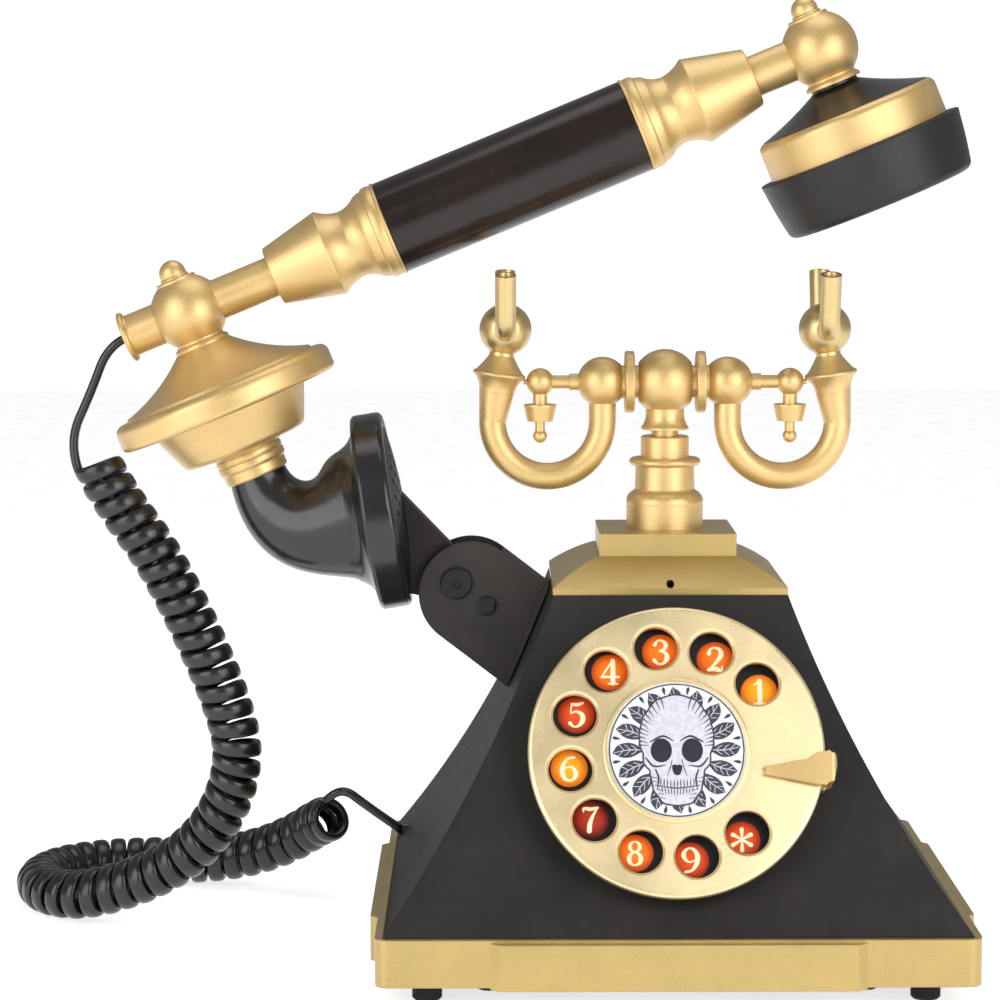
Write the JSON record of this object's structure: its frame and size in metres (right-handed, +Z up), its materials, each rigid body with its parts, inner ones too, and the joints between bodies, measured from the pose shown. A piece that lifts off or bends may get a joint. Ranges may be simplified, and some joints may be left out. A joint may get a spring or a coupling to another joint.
{
  "type": "rotary telephone",
  "caption": "Antique-style desk telephone with a rotary dial, a pillar cradle with curved arms, a hinged self-lifting handset on a bracket and a curly cord.",
  "frame": {"origin": "on the table, under the middle of the square base", "axes": "+X to the right seen from the dial's side, +Y to the back, +Z up"},
  "size_m": [0.3467, 0.2056, 0.3347],
  "materials": {
    "plinth_gold": "champagne gold paint with a fine grain",
    "satin_gold": "satin champagne gold",
    "dial_gold": "smooth satin champagne gold",
    "fork_brass": "dull satin brass",
    "body_black": "textured matte charcoal black",
    "black_abs": "matte",
    "cell_jacket": "printed sleeve",
    "foot_rubber": "matte",
    "dark_screw": "black oxide",
    "board_green": "solder mask",
    "dark_sensor": "gloss",
    "spring_steel": "bright",
    "motor_steel": "satin",
    "medallion_print": "printed white and grey",
    "amber_lens": "lit orange-red",
    "bracket_black": "matte dark grey",
    "arm_black": "matte dark brown-black",
    "grip_black": "gloss brown-black",
    "horn_black": "gloss",
    "grille_black": "satin",
    "cone_black": "gloss",
    "ear_black": "satin",
    "cord_black": "gloss"
  },
  "bodies": {
    "base": {"base_plinth": "plinth_gold", "bottom_cover": "black_abs", "battery_door": "black_abs", "battery_cells": "cell_jacket", "rubber_feet": "foot_rubber", "case_screws": "dark_screw", "main_board": "board_green", "body_shell": "body_black", "roof_cap": "plinth_gold", "sound_sensor": "dark_sensor", "cradle_column": "satin_gold", "cradle_spring": "spring_steel", "hook_switch": "black_abs", "dial_housing": "black_abs", "number_plate": "black_abs", "number_lenses": "amber_lens", "lamp_board": "board_green", "dial_return_spring": "spring_steel", "finger_stop": "satin_gold", "bracket_front_plate": "bracket_black", "bracket_rear_plate": "bracket_black", "bracket_web": "bracket_black", "bracket_screws": "dark_screw", "pivot_bolt": "dark_screw", "lift_motor": "motor_steel", "cord_coil": "cord_black", "cord_lead_body": "cord_black", "cord_gland": "cord_black"},
    "power_switch": {"switch_slider": "black_abs"},
    "dial": {"finger_wheel": "dial_gold", "dial_medallion": "medallion_print", "dial_spindle": "spring_steel"},
    "cradle": {"cradle_hub": "satin_gold", "cross_shaft": "satin_gold", "lock_discs": "satin_gold", "horn_arm_right": "satin_gold", "fork_right": "fork_brass", "horn_arm_left": "satin_gold", "fork_left": "fork_brass", "horn_collars": "satin_gold", "arm_finials": "satin_gold"},
    "drive_pinion": {"motor_pinion": "dark_screw"},
    "handset": {"lift_arm": "arm_black", "grip_tube": "grip_black", "ferrules": "satin_gold", "neck_tubes": "satin_gold", "tie_rod": "spring_steel", "elbow_ball_left": "satin_gold", "elbow_ball_right": "satin_gold", "elbow_knobs": "satin_gold", "cord_outlet": "satin_gold", "transmitter_housing": "satin_gold", "transmitter_cup": "satin_gold", "mouthpiece_horn": "horn_black", "mouthpiece_grille": "grille_black", "receiver_cone": "cone_black", "receiver_band": "satin_gold", "ear_cap": "ear_black", "receiver_capsule": "motor_steel", "cord_lead_handset": "cord_black"}
  },
  "joints": [
    {"name": "arm_lift", "type": "hinge", "parent": "base", "child": "handset", "pos_m": [-0.0736, 0, 0.1302], "axis": [0, 1, 0], "range_deg": [0, 22.4]},
    {"name": "pinion_turn", "type": "hinge", "parent": "base", "child": "drive_pinion", "pos_m": [-0.06313, 0, 0.12216], "axis": [0, 1, 0], "range_deg": [-48.2, 0]},
    {"name": "dial_turn", "type": "hinge", "parent": "base", "child": "dial", "pos_m": [0, -0.08, 0.0828], "axis": [0, 0.9239, -0.3827], "range_deg": [0, 310], "stiffness_Nm_per_rad": 0.006, "springref_deg": -45.84},
    {"name": "cradle_press", "type": "slide", "parent": "base", "child": "cradle", "axis": [0, 0, -1], "range_m": [0, 0.002], "stiffness_N_per_m": 1500, "springref_m": -0.0025, "deforming": ["cradle_spring"]},
    {"name": "switch_slide", "type": "slide", "parent": "base", "child": "power_switch", "axis": [1, 0, 0], "range_m": [0, 0.004]}
  ],
  "couplings": [
    {"joint": "pinion_turn", "follows": "arm_lift", "ratio": -2.1429}
  ]
}
